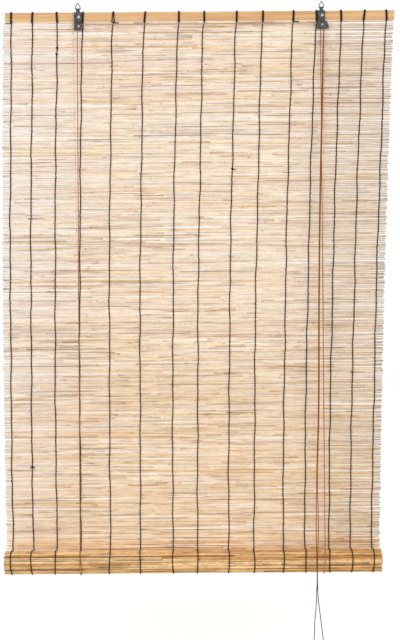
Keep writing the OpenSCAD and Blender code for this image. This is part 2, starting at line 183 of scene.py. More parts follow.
# Cords
CORD_SIDES = 8
CORD_D = 2 * MM
CORD_LOFT = 1.2
PLY_PAINTED_SHADE = (0.92, 0.12)  # mean, and swing of painted shade between a ply and the groove beside it
PLY_RADIUS = (0.95, 0.1)
ARC_STEP = 8  # degrees
CORD_STEP = 1.5 * MM
CORD_PITCH = 6 * MM  # length of a full twist
STRAIGHT_STEP = 4 * MM
SLING_HUG = 1.6 * MM  # how far a loop's foot is drawn up to the roll
LEAD_FADE = 12 * MM
LEAD_LAP = 0.9 * MM
TIE_KNOT_DROP = 2.4 * MM
TIE_KNOT = (1.5 * MM, 0.9 * MM)  # size, radius of the cord in it
STOP_KNOT_DROP = 4.5 * MM
STOP_KNOT = (1.9 * MM, 0.95 * MM)
FRAY_REACH = np.array((0.6, 0.3, 4)) * MM
FRAY_MM = (0.9, 1.2)

# Hanging rings
RING_SIDES = 10
RING_R = 1.15 * MM
RING_ROUND = 0.26  # share of a side that a round corner takes
RING_BEND_POINTS = 9
RING_FLARE = 1.2 * MM

# Roll
ROLL_R = 31.1 * MM
TURN_PITCH = 5.3 * MM
HEART_R = 9.9 * MM
REED_PITCH = 4.5 * MM
ROLLED_STAND = 0.25 * MM
ROLLED_TILT = 0.003
ROLLED_THREAD_TURN = 0.93  # share of a turn that shows
ROLLED_THREAD_SWAY = 1.2 * MM
ROLLED_THREAD_RATE = 1.7
ROLLED_THREAD_JITTER = 0.25 * MM
ROLLED_THREAD_SHADES = (0.7, 1.1)

# Pull cords: the routes of the part, from the lock down, across from the lock's axle
RUN_RIGHT = [(4, -4, -67.5), (3, -8, -110), (1, -15, -250), (-4, -25, -450), (-8, -40, -760),
             (-10, -55, -1070), (-14, -63, -1230), (-12, -69, -1370), (-14, -73, -1440)]
RUN_LEFT = [(4, -1, -67.5), (2, -5, -110), (-1, -13, -250), (-6, -23, -450), (-10, -38, -760),
            (-12, -53, -1070), (-16, -61, -1230), (-17, -67, -1370), (-16, -70, -1440)]
TAIL_RIGHT = [(-14, -73, -1440.5), (-14, -74, -1505), (-13, -74, -1530), (-10, -73, -1565),
              (-5, -72, -1605), (1, -72, -1655), (5, -71, -1700), (7, -71, -1740), (7, -71, -1780)]
TAIL_LEFT = [(-16, -70, -1440.5), (-15, -71, -1505), (-16, -71, -1530), (-17, -71, -1565),
             (-20, -70, -1605), (-22, -70, -1655), (-23, -70, -1700), (-24, -70, -1740), (-24, -70, -1780)]

# Places that the frame gives
slat_low, slat_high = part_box("header_slat")
mat_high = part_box("reed_mat")[1]
rod_low, rod_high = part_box("bottom_rod")
roll_low, roll_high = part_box("mat_roll")
roll_axis = (rod_low + rod_high) / 2
half_w = (roll_high.x - roll_low.x) / 2
mat_y = (slat_low.y + slat_high.y) / 2
mat_top = mat_high.z
mat_h = mat_top - roll_axis.z
pick_h = mat_h / PICKS
lift = next(j for j in frame["joints"] if j["name"] == "roll_lift")["range_m"][1]
mat_fold = roll_axis.z + lift + FOLD_ROOM
thread_fold = mat_fold + NIP_RISE


def srgb(r, g, b):
    """Linear colour of a display colour given in 0 to 255."""
    return tuple(((c / 255 + 0.055) / 1.055) ** 2.4 for c in (r, g, b))


REED_COLOURS = [  # colour, how common
    (srgb(247, 224, 193), 0.48),
    (srgb(250, 231, 206), 0.18),
    (srgb(253, 241, 221), 0.04),
    (srgb(242, 213, 175), 0.13),
    (srgb(246, 219, 195), 0.16),
    (srgb(236, 198, 150), 0.01),
]
ROLLED_COLOURS = [
    (srgb(240, 196, 136), 0.44),
    (srgb(246, 213, 163), 0.3),
    (srgb(226, 174, 110), 0.16),
    (srgb(206, 146, 84), 0.07),
    (srgb(184, 120, 64), 0.03),
]
HUSK_COLOURS = [srgb(228, 172, 108), srgb(216, 154, 86), srgb(196, 132, 68), srgb(164, 106, 56),
                srgb(130, 86, 50)]
DARK_HUSKS = [srgb(182, 112, 50), srgb(146, 84, 36), srgb(112, 64, 30), srgb(208, 142, 72)]
# Painted shade: dark lines along the reeds' undersides, where the rows meet
GROOVE_PAINTED_SHADES = [srgb(136, 88, 48), srgb(176, 118, 66)]
DARK_GROOVE_PAINTED_SHADES = [srgb(84, 46, 20), srgb(124, 72, 32)]
# Painted highlights: pale lines along the reeds' top sides
PAINTED_HIGHLIGHTS = [srgb(255, 248, 236)]
GOLD_PAINTED_HIGHLIGHTS = [srgb(250, 218, 160)]
# Marks on reeds: count to a metre, lengths, strengths, sides they may lie on, colours, whether they fade
MAT_MARKS = [
    (5, (0.015, 0.08), (0.3, 0.9), range(REED_SIDES), HUSK_COLOURS, True),
    # painted shade between the rows
    (2.4, (0.02, 0.2), (0.2, 0.8), [UNDERSIDE], GROOVE_PAINTED_SHADES, False),
    # painted highlights along the top sides
    (1.2, (0.03, 0.12), (0.3, 0.7), [TOP_SIDE], PAINTED_HIGHLIGHTS, False),
]
LOW_HUSKS = 8
LOW_MARKS = [(LOW_HUSKS, *MAT_MARKS[0][1:]), *MAT_MARKS[1:]]
ROLL_MARKS = [
    (5, (0.02, 0.11), (0.35, 1), range(REED_SIDES), DARK_HUSKS, True),
    # painted shade between the turns of the roll
    (2, (0.04, 0.25), (0.5, 1), [UNDERSIDE], DARK_GROOVE_PAINTED_SHADES, False),
    # painted highlights along the top sides
    (2, (0.03, 0.12), (0.4, 0.9), [TOP_SIDE], GOLD_PAINTED_HIGHLIGHTS, False),
]
NODE_COLOUR = srgb(112, 78, 52)
# Changes of colour over the mat; the spans give where one starts and how far it grows, as shares of the mat
SIDE_SPAN = (0.4, 0.5)
LOW_SPAN = (0.5, 0.4)
GROOVE_SHADE_SPAN = (0.4, 0.4)
LEFT_SHADE = np.array((1.0, 1.04, 1.15))
RIGHT_SHADE = np.array((1.01, 1.005, 1.03))
# painted shade on the reeds' undersides, deepening towards the right
RIGHT_GROOVE_SHADE = 0.65
LOW_SHADE = np.array((1.01, 0.96, 0.87))
# Painted light just above the roll, offsetting the shade the roll casts on the mat there
NIP_PAINTED_LIGHT = np.array((1.14, 1.09, 1.0))
NIP_PAINTED_LIGHT_H = 45 * MM
THREAD_COLOUR = srgb(72, 46, 22)
STITCH_COLOUR = srgb(52, 36, 27)
LIFT_COLOUR = srgb(170, 112, 74)
SLING_COLOUR = srgb(200, 152, 100)
CROSS_COLOUR = srgb(190, 148, 118)
# Painted shade: the pull cords darken over the roll and below it
SHADED_TAIL_COLOUR = srgb(74, 57, 49)
PULL_COLOURS_AND_SHADES = [  # height, colour
    (-1.503, SHADED_TAIL_COLOUR), (-1.49, srgb(140, 76, 38)), (-1.42, srgb(140, 76, 38)), (-1.25, srgb(166, 94, 52)),
]


def make_camera():
    """The photograph's camera, as fitted to marks on it."""
    data = bpy.data.cameras.new("camera")
    data.sensor_width = SENSOR
    data.lens = FOCAL_PX * SENSOR / IMAGE_H
    ahead = Vector((math.sin(YAW) * math.cos(PITCH_DOWN), math.cos(YAW) * math.cos(PITCH_DOWN),
                    -math.sin(PITCH_DOWN)))
    right = Vector((math.cos(YAW), -math.sin(YAW), 0))
    up = right.cross(ahead)
    x_axis = right * math.cos(ROLL) + up * math.sin(ROLL)
    y_axis = up * math.cos(ROLL) - right * math.sin(ROLL)
    turn = Matrix((x_axis, y_axis, -ahead)).transposed()
    camera = bpy.data.objects.new("camera", data)
    camera.matrix_world = Matrix.Translation(CAMERA_PLACE) @ turn.to_4x4()
    scene.collection.objects.link(camera)
    scene.camera = camera


# Shader helpers
MIX_SOCKETS = (6, 7, 2)  # the mix node's two colour inputs and its colour output


def add(tree, kind, inputs=None, **settings):
    """A new shader node with its settings, and its inputs set or linked."""
    made = tree.nodes.new(kind)
    for key, value in settings.items():
        setattr(made, key, value)
    for key, value in (inputs or {}).items():
        if isinstance(value, bpy.types.NodeSocket):
            tree.links.new(value, made.inputs[key])
        else:
            made.inputs[key].default_value = value
    return made


def blank(name):
    """A new material with its node tree and its one shader."""
    look = bpy.data.materials.new(name)
    look.use_nodes = True
    return look, look.node_tree, look.node_tree.nodes["Principled BSDF"]


def noise(tree, stretch, detail=4.0, distortion=0.0):
    """Noise in the object's own metres, stretched along each axis."""
    place = add(tree, "ShaderNodeTexCoord")
    mapped = add(tree, "ShaderNodeMapping", {"Vector": place.outputs["Object"], "Scale": stretch})
    made = add(tree, "ShaderNodeTexNoise", {"Vector": mapped.outputs["Vector"], "Scale": 1.0,
                                            "Detail": detail, "Distortion": distortion})
    return made.outputs["Fac"]


def spread(tree, value, low, high, start=0.3, end=0.7):
    """Maps a noise value onto the range from low to high."""
    made = add(tree, "ShaderNodeMapRange", {"Value": value, "From Min": start, "From Max": end,
                                            "To Min": low, "To Max": high})
    return made.outputs["Result"]


def times(tree, colour, value):
    """A colour multiplied by a grey value or another colour."""
    made = tree.nodes.new("ShaderNodeMix")
    made.data_type = "RGBA"
    made.blend_type = "MULTIPLY"
    made.inputs["Factor"].default_value = 1
    first, second, result = MIX_SOCKETS
    tree.links.new(colour, made.inputs[first])
    tree.links.new(value, made.inputs[second])
    return made.outputs[result]


def ramp(tree, value, stops):
    """A colour ramp through (place, colour) stops."""
    made = add(tree, "ShaderNodeValToRGB", {"Fac": value})
    points = made.color_ramp.elements
    while len(points) < len(stops):
        points.new(0.5)
    for point, (place, colour) in zip(points, stops):
        point.position = place
        point.color = (*colour, 1)
    return made.outputs["Color"]


def bump(tree, shader, height, strength, distance):
    """Small bumps on the shader's surface."""
    made = add(tree, "ShaderNodeBump", {"Height": height, "Strength": strength, "Distance": distance})
    tree.links.new(made.outputs["Normal"], shader.inputs["Normal"])


def reed_look(name, mottle):
    """Dry reed: each reed's own tint, fine fibres along it, small stains and a faint gloss."""
    look, tree, shader = blank(name)
    tint = add(tree, "ShaderNodeVertexColor", layer_name="tint").outputs["Color"]
    fibre = noise(tree, (22, 420, 420), detail=5)
    streaked = times(tree, tint, spread(tree, fibre, 0.86, 1.08))
    stains = noise(tree, (75, 260, 260), detail=3)
    marked = times(tree, streaked, spread(tree, stains, 1 - mottle, 1 + mottle))
    tree.links.new(marked, shader.inputs["Base Color"])
    tree.links.new(spread(tree, noise(tree, (30, 300, 300)), 0.5, 0.75), shader.inputs["Roughness"])
    shader.inputs["Specular IOR Level"].default_value = 0.3
    bump(tree, shader, fibre, 0.3, 0.4 * MM)
    return look


def wood_look(name):
    """Planed pine: long grain bands, fine pores and a dry finish."""
    look, tree, shader = blank(name)
    grain = noise(tree, (2.2, 70, 90), detail=6, distortion=1.2)
    bands = ramp(tree, grain, [(0.3, srgb(206, 154, 100)), (0.5, srgb(226, 180, 128)),
                               (0.68, srgb(236, 198, 150))])
    pores = noise(tree, (24, 800, 800), detail=3)
    tree.links.new(times(tree, bands, spread(tree, pores, 0.9, 1.04)), shader.inputs["Base Color"])
    tree.links.new(spread(tree, grain, 0.5, 0.7), shader.inputs["Roughness"])
    shader.inputs["Specular IOR Level"].default_value = 0.3
    bump(tree, shader, pores, 0.25, 0.3 * MM)
    return look


def thread_look():
    """Dark twisted cotton with a fuzzy face."""
    look, tree, shader = blank("warp_thread")
    tint = add(tree, "ShaderNodeVertexColor", layer_name="tint").outputs["Color"]
    twist = noise(tree, (900, 900, 500), detail=3)
    tree.links.new(times(tree, tint, spread(tree, twist, 0.7, 1.3)), shader.inputs["Base Color"])
    shader.inputs["Roughness"].default_value = 0.9
    shader.inputs["Specular IOR Level"].default_value = 0.05
    bump(tree, shader, twist, 0.5, 0.4 * MM)
    return look


def cord_look(name):
    """Twisted two-ply cord: the tint carries painted shade between the plies, with fine fibres over it."""
    look, tree, shader = blank(name)
    tint = add(tree, "ShaderNodeVertexColor", layer_name="tint").outputs["Color"]
    fibre = noise(tree, (1600, 1600, 700), detail=3)
    tree.links.new(times(tree, tint, spread(tree, fibre, 0.85, 1.12)), shader.inputs["Base Color"])
    shader.inputs["Roughness"].default_value = 0.8
    shader.inputs["Specular IOR Level"].default_value = 0.2
    bump(tree, shader, fibre, 0.4, 0.2 * MM)
    return look


def paint_look():
    """Charcoal paint on sheet steel, with faint mottling and scuffs that catch the light."""
    look, tree, shader = blank("bracket_paint")
    mottle = noise(tree, (260, 260, 260), detail=5)
    colour = ramp(tree, mottle, [(0.34, srgb(46, 45, 49)), (0.52, srgb(66, 65, 69)),
                                 (0.68, srgb(112, 110, 112))])
    tree.links.new(colour, shader.inputs["Base Color"])
    scuff = noise(tree, (700, 500, 900), detail=2)
    tree.links.new(spread(tree, scuff, 0.28, 0.55), shader.inputs["Roughness"])
    shader.inputs["Metallic"].default_value = 0.35
    bump(tree, shader, mottle, 0.15, 0.2 * MM)
    return look


def metal_look(name, dark, bright, rough):
    """Bare metal with brushed variation in its colour and gloss."""
    look, tree, shader = blank(name)
    brushed = noise(tree, (500, 900, 500), detail=4)
    tree.links.new(ramp(tree, brushed, [(0.3, dark), (0.7, bright)]), shader.inputs["Base Color"])
    tree.links.new(spread(tree, brushed, rough + 0.12, rough), shader.inputs["Roughness"])
    shader.inputs["Metallic"].default_value = 1
    bump(tree, shader, brushed, 0.1, 0.1 * MM)
    return look


# Mesh helpers
def unit(vectors):
    """The vectors at length 1."""
    return vectors / np.linalg.norm(vectors, axis=-1, keepdims=True)


class Tubes:
    """Gathers tubes into one mesh, with a tint at each point."""

    def __init__(self):
        self.points = []
        self.tints = []
        self.quads = []
        self.caps = []
        self.count = 0

    def add(self, path, radius, across, tint, sides=THREAD_SIDES, closed=False):
        """Adds a tube along path. radius and tint may vary by ring, or by ring and side."""
        path = np.asarray(path, float)
        rings = len(path)
        step = np.roll(path, -1, 0) - np.roll(path, 1, 0) if closed else np.gradient(path, axis=0)
        way = unit(step)
        u = unit(np.cross(across, way))
        v = np.cross(way, u)
        turn = np.arange(sides) * 2 * np.pi / sides
        spokes = np.cos(turn)[:, None] * u[:, None] + np.sin(turn)[:, None] * v[:, None]
        reach = np.asarray(radius, float)
        if reach.ndim == 1:
            reach = reach[:, None]
        tint = np.asarray(tint, float)
        if tint.ndim == 2:
            tint = tint[:, None]
        self.points.append((path[:, None] + reach[..., None] * spokes).reshape(-1, 3))
        self.tints.append(np.broadcast_to(tint, (rings, sides, 3)).reshape(-1, 3))
        i = np.arange(rings if closed else rings - 1)[:, None]
        j = np.arange(sides)[None]
        here = i * sides
        there = (i + 1) % rings * sides
        beside = (j + 1) % sides
        quads = np.stack([here + j, here + beside, there + beside, there + j], -1)
        self.quads.append(quads.reshape(-1, 4) + self.count)
        if not closed:
            last = self.count + (rings - 1) * sides
            self.caps.append(list(range(self.count + sides - 1, self.count - 1, -1)))
            self.caps.append(list(range(last, last + sides)))
        self.count += rings * sides

    def mesh(self, name):
        """One mesh of all the tubes, with smooth sides and flat ends."""
        made = bpy.data.meshes.new(name)
        quads = np.concatenate(self.quads).tolist()
        made.from_pydata(np.concatenate(self.points).tolist(), [], quads + self.caps)
        made.polygons.foreach_set("use_smooth", [True] * len(quads) + [False] * len(self.caps))
        tints = np.ones((self.count, 4), np.float32)
        tints[:, :3] = np.concatenate(self.tints)
        made.attributes.new("tint", "FLOAT_COLOR", "POINT").data.foreach_set("color", tints.ravel())
        return made


def piece(name, tubes, look, body, nodes):
    """A piece of the object that stands for CAD nodes and rides on their body."""
    made = bpy.data.objects.new(name, tubes.mesh(name))
    made.data.materials.append(look)
    scene.collection.objects.link(made)
    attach(made, body)
    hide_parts(*nodes)
    return made


def gathers(made, top, foot):
    """Gives the piece its own copy of its mesh; top and foot are not used."""
    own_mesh(made)


def smooth_curve(points, spacing):
    """A smooth curve through the points, sampled about every spacing metres."""
    points = np.asarray(points, float)
    chord = np.concatenate([[0], np.cumsum(np.linalg.norm(np.diff(points, axis=0), axis=1))])
    slope = np.gradient(points, chord, axis=0)
    at = np.linspace(0, chord[-1], max(2, round(chord[-1] / spacing) + 1))
    k = np.clip(np.searchsorted(chord, at, side="right") - 1, 0, len(chord) - 2)
    span = (chord[k + 1] - chord[k])[:, None]
    t = (at - chord[k])[:, None] / span
    start = (2 * t**3 - 3 * t**2 + 1) * points[k] + (t**3 - 2 * t**2 + t) * span * slope[k]
    return start + (3 * t**2 - 2 * t**3) * points[k + 1] + (t**3 - t**2) * span * slope[k + 1]


def drift_at(z):
    """How far the mat stands aside at a height: it slips at the slat, drifts and bows to the left."""
    share = (mat_top - z) / mat_h
    return roll_axis.x * share - MAT_BOW * np.sin(np.pi * share) - MAT_SLIP * (1 - share)


def grown(value, start, span):
    """0 up to start, growing to 1 over the span."""
    return np.clip((value - start) / span, 0, 1)


def shade_at(x, z):
    """How the mat's colour changes: paler to either side, golden low down, with painted light just above the
    roll.
    """
    aside = grown(np.abs(x) / half_w, *SIDE_SPAN)[:, None]
    low = grown((mat_top - z) / mat_h, *LOW_SPAN)[:, None]
    nip = np.clip(1 - (z - roll_high.z) / NIP_PAINTED_LIGHT_H, 0, 1)[:, None]
    side = np.where(x[:, None] < 0, LEFT_SHADE, RIGHT_SHADE)
    return (1 + aside * (side - 1)) * (1 + low * (LOW_SHADE - 1)) * (1 + nip * (NIP_PAINTED_LIGHT - 1))


# Reeds
def pick_colour(rng, colours):
    """One of the colours, each as often as its share says."""
    shares = [share for _, share in colours]
    return np.array(colours[rng.choice(len(colours), p=shares)][0])


def reed(rng, x0, x1, colours, marks, patchy):
    """One reed from x0 to x1: its rings' places along X and radii, and its tints by ring and side."""
    length = x1 - x0
    nodes = x0 + rng.uniform(*FIRST_NODE) + np.cumsum(rng.uniform(*NODE_SPACING, MOST_NODES))
    nodes = nodes[nodes < x1 - NODE_MARGIN]
    streaks = []
    for count, lengths, strengths, faces, shades, fades in marks:
        for _ in range(rng.poisson(count * length)):
            start = rng.uniform(x0, x1)
            end = start + rng.uniform(*lengths) * rng.choice([-1, 1])
            streaks.append((start, end, rng.choice(faces), rng.uniform(*strengths),
                            shades[rng.integers(len(shades))], fades))
    rings = [np.arange(x0, x1, RING_STEP), [x1]]
    rings += [nodes + k * NODE_HALF for k in NODE_RINGS]
    for start, end, _, _, _, fades in streaks:
        rings.append([end, end + math.copysign(MM, end - start)] if fades else [start, end])
    x = np.unique(np.concatenate(rings))
    x = x[(x >= x0) & (x <= x1)]
    share = (x - x0) / length
    if rng.random() < 0.5:
        share = 1 - share
    radius = rng.uniform(*REED_R) * (REED_BUTT - rng.uniform(*REED_TAPER) * share)
    grid = np.arange(x0, x1 + PATCH, PATCH)
    patches = np.interp(x, grid, rng.normal(0, patchy, len(grid)))
    base = pick_colour(rng, colours) * rng.normal(1, REED_SPREAD) * (1 + patches)[:, None]
    tint = np.repeat(base[:, None], REED_SIDES, axis=1)
    sides = np.arange(REED_SIDES)
    # Marks laid only on the underside are painted shade and marks laid only on the top side are painted
    # highlights; the husk marks are the reeds' own colour
    for start, end, face, strength, colour, fades in streaks:
        along = (x - start) / (end - start)
        rise = np.clip(along, 0, 1) ** FADE_POWER if fades else 1
        weight = np.where((along > -0.001) & (along < 1.001), strength * rise, 0)
        aside = np.abs((sides - face + REED_SIDES // 2) % REED_SIDES - REED_SIDES // 2)
        weight = weight[:, None] * np.clip(MARK_REACH - aside, 0, 1)
        tint += weight[..., None] * (np.array(colour) - tint)
    for node in nodes:
        near = np.exp(-(((x - node) / NODE_HALF) ** 2))
        radius *= 1 + NODE_SWELL * near
        weight = rng.choice(NODE_STAINS, p=NODE_STAIN_SHARES) * near
        tint += weight[:, None, None] * (np.array(NODE_COLOUR) - tint)
    return x, radius, tint


def reeds_across(rng, left, right):
    """Start and end of each reed of one row, laid end over end from left to right."""
    start = left
    while start < right:
        end = start + rng.uniform(*REED_LENGTH)
        if right - end < SHORTEST_REED:
            end = right
        yield start, end
        start = right if end >= right else end - rng.uniform(*REED_OVERLAP)


def row_sways(rng, warps):
    """How far each row of reeds stands off its even place at each warp, with some picks parted into gaps."""
    sways = rng.normal(0, ROW_SWAY, (2 * PICKS, warps))
    for pick in range(1, PICKS):
        for _ in range(rng.poisson(GAPS_A_PICK)):
            first = rng.integers(0, warps - 1)
            span = slice(first, first + rng.integers(*GAP_WARPS))
            opening = rng.uniform(*GAP_MM) * MM
            for row, share in ((2 * pick - 2, 0.5), (2 * pick - 1, 1), (2 * pick, -1), (2 * pick + 1, -0.5)):
                sways[row, span] += share * opening
    for pick, first, last, opening in PARTED:
        sways[2 * pick - 1, first:last] += opening
        sways[2 * pick, first:last] -= opening
    return sways


def hanging_reeds(name, rows, sways, warp_x, seed, marks=MAT_MARKS, gathered=True):
    """Some rows of the hanging mat."""
    rng = np.random.default_rng(seed)
    tubes = Tubes()
    for row in rows:
        height = mat_top - (row + 0.5) * pick_h / 2 + (EDGE_LIFT if row == 0 else 0)
        left = drift_at(height) - half_w + rng.uniform(*END_RAG)
        right = drift_at(height) + half_w - rng.uniform(*END_RAG)
        for start, end in reeds_across(rng, left, right):
            x, radius, tint = reed(rng, start, end, REED_COLOURS, marks, MAT_PATCHES)
            tip = np.clip(1 - np.minimum(x - left, right - x) / END_COMB, 0, 1)
            radius *= (1 - TIP_TAPER * tip) * (EDGE_STOUT if row == 0 else 1)
            # Some reeds are darker towards their cut ends, most often at the mat's right edge
            marked = RIGHT_TIPS_DARKENED if end == right else OTHER_TIPS_DARKENED
            tip_dark = TIP_DARKENING if rng.random() < marked else 0
            tint *= 1 - tip_dark * tip[:, None, None]
            # Painted shade between the rows, deeper towards the right
            tint[:, UNDERSIDE] *= 1 - RIGHT_GROOVE_SHADE * grown(x[:, None] / half_w, *GROOVE_SHADE_SPAN)
            tilt = rng.normal(0, REED_TILT) * (x - (start + end) / 2)
            z = height + np.interp(x, warp_x + drift_at(height), sways[row]) + tilt
            y = mat_y + rng.normal(0, REED_STAND) + REED_WAVE * np.sin(x * WAVE_RATE + rng.uniform(0, 6))
            path = np.stack([x, y, z], -1)
            tubes.add(path, radius, (0, 0, 1), tint * shade_at(x, z)[:, None], REED_SIDES)
    made = piece(name, tubes, reed_finish, "header", ["reed_mat"])
    if gathered:
        gathers(made, mat_fold, roll_axis.z)


def spiral(along):
    """Mid radius and angle of the rolled mat at a place along its length, from the outer end at the back."""
    wind = TURN_PITCH / (2 * math.pi)
    radius = np.sqrt(ROLL_R**2 - 2 * along * wind)
    return radius, (ROLL_R - radius) / wind


def rolled_reeds(seed):
    """The rolled part of the mat: reeds laid along a spiral."""
    rng = np.random.default_rng(seed)
    tubes = Tubes()
    whole = (ROLL_R**2 - HEART_R**2) * math.pi / TURN_PITCH
    for along in np.arange(REED_PITCH / 2, whole, REED_PITCH):
        radius_at, angle = spiral(along)
        left = roll_axis.x - half_w + rng.uniform(*END_RAG)
        right = roll_axis.x + half_w - rng.uniform(*END_RAG)
        for start, end in reeds_across(rng, left, right):
            x, radius, tint = reed(rng, start, end, ROLLED_COLOURS, ROLL_MARKS, ROLL_PATCHES)
            out = radius_at + rng.normal(0, ROLLED_STAND)
            turn = angle + rng.normal(0, ROLLED_TILT) / ROLL_R * (x - (start + end) / 2)
            path = np.stack([x, roll_axis.y + out * np.cos(turn), roll_axis.z - out * np.sin(turn)], -1)
            tubes.add(path, radius, (0, 0, 1), tint, REED_SIDES)
    piece("rolled_reeds", tubes, rolled_finish, "roll", ["mat_roll"])


# Threads
def flat_profile(radius):
    """Radii of an oval thread, wider across than it is thick."""
    turn = np.arange(THREAD_SIDES) * 2 * np.pi / THREAD_SIDES
    return radius / np.sqrt((np.cos(turn) / THREAD_FLAT) ** 2 + np.sin(turn) ** 2)


def wander(rng, z):
    """Smooth sideways waver of a thread down the mat, none at its top."""
    down = mat_top - z
    waver = np.zeros_like(down)
    for length, size in WANDERS:
        phase = rng.uniform(0, 2 * np.pi)
        waver += size * MM * (np.sin(2 * np.pi * down / length + phase) - math.sin(phase))
    return waver


def overhand(tubes, centre, size, radius, tint):
    """A small knot of thread or cord."""
    t = np.linspace(0, 2 * np.pi, KNOT_RINGS, endpoint=False)
    loop = np.stack([np.sin(t) + 2 * np.sin(2 * t), KNOT_DEPTH * np.sin(3 * t),
                     np.cos(t) - 2 * np.cos(2 * t)], -1)
    tubes.add(np.asarray(centre) + loop * size / 3, radius, (0, 1, 0.001), tint, closed=True)


def warp_thread(index, warp_x):
    """Two twined threads that bind the reeds, one in front and one behind, crossing between the picks."""
    rng = np.random.default_rng(WARP_SEED + index)
    phase = np.array(PICK_POINTS)
    share = (np.arange(PICKS)[:, None] + phase).ravel()
    bulge = np.tile(np.sin(np.pi * phase) ** BULGE_POWER, PICKS)
    slant = np.tile(phase - 0.5, PICKS)
    z = mat_top - share * pick_h
    x = warp_x[index] + drift_at(z) + wander(rng, z)
    x += np.repeat(rng.normal(0, THREAD_JITTER, PICKS), len(phase))
    x += MAT_SLIP * (1 - WARP_SLIPS[index] * (1 - np.exp(-share / SLIP_PICKS))) * (1 - share / PICKS)
    out = THREAD_DIP + (CREST + 0.5 * THREAD_R - THREAD_DIP) * bulge
    shade = np.repeat(rng.uniform(*THREAD_SHADES, PICKS), len(phase))
    tint = np.array(THREAD_COLOUR) * shade[:, None]
    profile = flat_profile(THREAD_R) * (THREAD_SWELL[0] + THREAD_SWELL[1] * bulge)[:, None]
    upper, lower = Tubes(), Tubes()
    for side, fold, foot in ((-1, thread_fold, roll_axis.z + NIP_RISE), (1, mat_fold, roll_axis.z)):
        path = np.stack([x - side * slant * THREAD_SLANT, mat_y + side * out, z], -1)[z > foot]
        lead = path[0] + np.array([(0, 0, rise) for rise in THREAD_LEADS])
        path = np.concatenate([lead, path])
        rows = np.concatenate([[0, 0], np.arange(len(path) - 2)])
        cut = np.count_nonzero(path[:, 2] > fold)
        upper.add(path[:cut], profile[rows[:cut]], (1, 0, 0), tint[rows[:cut]])
        lower.add(path[cut - 1:], profile[rows[cut - 1:]], (1, 0, 0), tint[rows[cut - 1:]])
    for warp, height, loose_sides in WARP_KNOTS:
        if warp == index:
            tubes = upper if height > thread_fold else lower
            at = np.interp(height, z[::-1], x[::-1])
            face = mat_y - CREST - THREAD_R
            overhand(tubes, (at, face, height), KNOT_SIZE, KNOT_R, STITCH_COLOUR)
            for side in loose_sides:
                reach = side * rng.uniform(*STUB_MM) * MM
                stub = smooth_curve([(at, face, height), (at + side * 4 * MM, face - MM, height - 1.5 * MM),
                                     (at + reach, face - 0.5 * MM, height - 4 * MM)], MM)
                tubes.add(stub, KNOT_R, (0, 1, 0), STITCH_COLOUR)
    number = f"{index + 1:02d}"
    piece(f"warp_thread_{number}_upper", upper, thread_finish, "header", [f"warp_{number}"])
    made = piece(f"warp_thread_{number}_lower", lower, thread_finish, "header", [f"warp_{number}"])
    gathers(made, thread_fold, roll_axis.z + NIP_RISE)


def slat_loop(x_foot, x_top, radius):
    """A closed path round the slat, leaning from x_foot to x_top."""
    low_y, high_y = slat_low.y - radius, slat_high.y + radius
    low_z, high_z = slat_low.z - radius, slat_high.z + radius
    corner = STITCH_CORNER
    path = []
    for y, z, first in ((low_y, low_z, 180), (low_y, high_z, 90), (high_y, high_z, 0), (high_y, low_z, -90)):
        centre_y = y + (corner if y == low_y else -corner)
        centre_z = z + (corner if z == low_z else -corner)
        for turn in (first + 90, first + 60, first + 30, first):
            angle = math.radians(turn)
            path.append((0, centre_y + corner * math.cos(angle), centre_z + corner * math.sin(angle)))
    path = np.array(path)
    share = (path[:, 2] - low_z) / (high_z - low_z)
    path[:, 0] = x_foot + (x_top - x_foot) * share
    return path


def header_stitches(warp_x):
    """A doubled stitch of thread round the slat at each warp, with a few loose ends at its foot."""
    rng = np.random.default_rng(STITCH_SEED)
    tubes = Tubes()
    for index, x in enumerate(warp_x):
        splay = WIDE_STITCHES.get(index, STITCH_SPLAY)
        lean = rng.normal(0, STITCH_LEAN_MM) * MM
        for side in (-1, 1):
            tint = np.array(STITCH_COLOUR) * rng.uniform(*STITCH_SHADES)
            loop = slat_loop(x + side * splay + lean, x + side * STITCH_TOP - lean, STITCH_R)
            tubes.add(loop, STITCH_R, (1, 0, 0), tint, closed=True)
    for index, side in LOOSE_ENDS:
        x = warp_x[index]
        face = slat_low.y - STITCH_R
        foot = slat_low.z - 2 * MM
        points = [(x + side * out * MM, face + y * MM, foot + z * MM) for out, y, z in LOOSE_PATH]
        end = smooth_curve(points, MM)
        tubes.add(end, STITCH_R, (0, 1, 0), STITCH_COLOUR)
    piece("slat_stitches", tubes, thread_finish, "header", ["header_stitches"])


def roll_threads(warp_x):
    """The warp threads where they bind the outside of the roll, arched over each pick."""
    rng = np.random.default_rng(ROLLED_THREAD_SEED)
    tubes = Tubes()
    for x in warp_x:
        end = 2 * math.pi * ROLLED_THREAD_TURN * (ROLL_R - TURN_PITCH / 2)
        along = np.arange(0.5 * REED_PITCH, end, REED_PITCH / 2)
        radius, angle = spiral(along)
        arch = 0.5 - 0.5 * np.cos(2 * np.pi * along / (2 * REED_PITCH))
        out = radius + CREST + 0.2 * THREAD_R + (arch - 0.5) * MM
        sway = ROLLED_THREAD_SWAY * np.sin(angle * ROLLED_THREAD_RATE + rng.uniform(0, 6))
        sway += rng.normal(0, ROLLED_THREAD_JITTER, len(along))
        path = np.stack([x + roll_axis.x + sway, roll_axis.y + out * np.cos(angle),
                         roll_axis.z - out * np.sin(angle)], -1)
        tint = np.array(THREAD_COLOUR) * rng.uniform(*ROLLED_THREAD_SHADES)
        tubes.add(path, flat_profile(THREAD_R)[None], (1, 0, 0), tint)
    piece("rolled_threads", tubes, thread_finish, "roll", ["roll_threads"])


